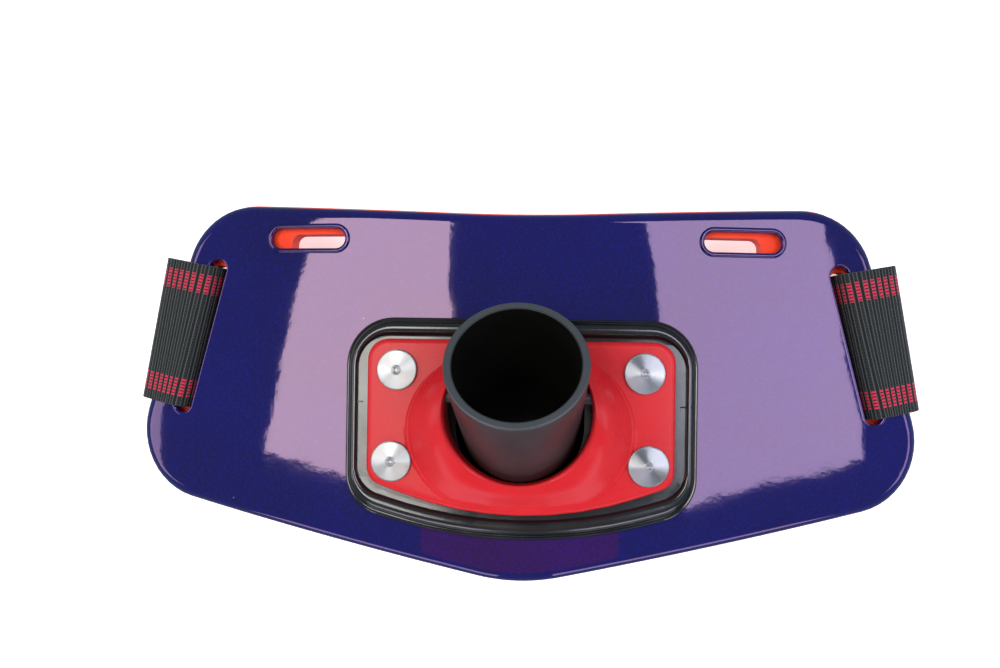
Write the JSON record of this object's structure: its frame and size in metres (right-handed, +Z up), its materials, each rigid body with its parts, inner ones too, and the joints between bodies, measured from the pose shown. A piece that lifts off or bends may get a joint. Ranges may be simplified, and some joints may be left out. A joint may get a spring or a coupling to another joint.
{
  "type": "fishing fighting belt",
  "caption": "Curved hip plate on a foam pad with a tilting cup for a rod's butt, harness slots, and an elastic waist strap that closes behind.",
  "frame": {"origin": "middle of the belt's footprint, on the surface that it lies on, back down", "axes": "+X to the right and +Y to the plate's top edge as seen from the front, +Z up, out of the plate's front"},
  "size_m": [0.272, 0.1262, 0.0816],
  "materials": {
    "plate_gloss": "high-gloss dark blue moulding",
    "foam": "red-orange closed-cell foam",
    "housing_gloss": "glossy black moulding",
    "bezel_gloss": "semi-gloss red moulding",
    "cup_satin": "satin black moulding",
    "rivet": "turned faces",
    "webbing": "ribbed elastic webbing with two dashed red stripes",
    "buckle_plastic": "satin black moulding"
  },
  "bodies": {
    "root": {"plate": "plate_gloss", "back_pad": "foam", "cup_housing": "housing_gloss", "bezel": "bezel_gloss", "rivet_upper_left": "rivet", "rivet_upper_right": "rivet", "rivet_lower_left": "rivet", "rivet_lower_right": "rivet", "strap_left": "webbing", "strap_right": "webbing", "buckle": "buckle_plastic"},
    "rod_cup": {"rod_cup": "cup_satin"}
  },
  "joints": [
    {"name": "cup_tilt", "type": "hinge", "parent": "root", "child": "rod_cup", "pos_m": [0, -0.00064, 0.05195], "axis": [1, 0, 0], "range_deg": [0, 30]}
  ]
}
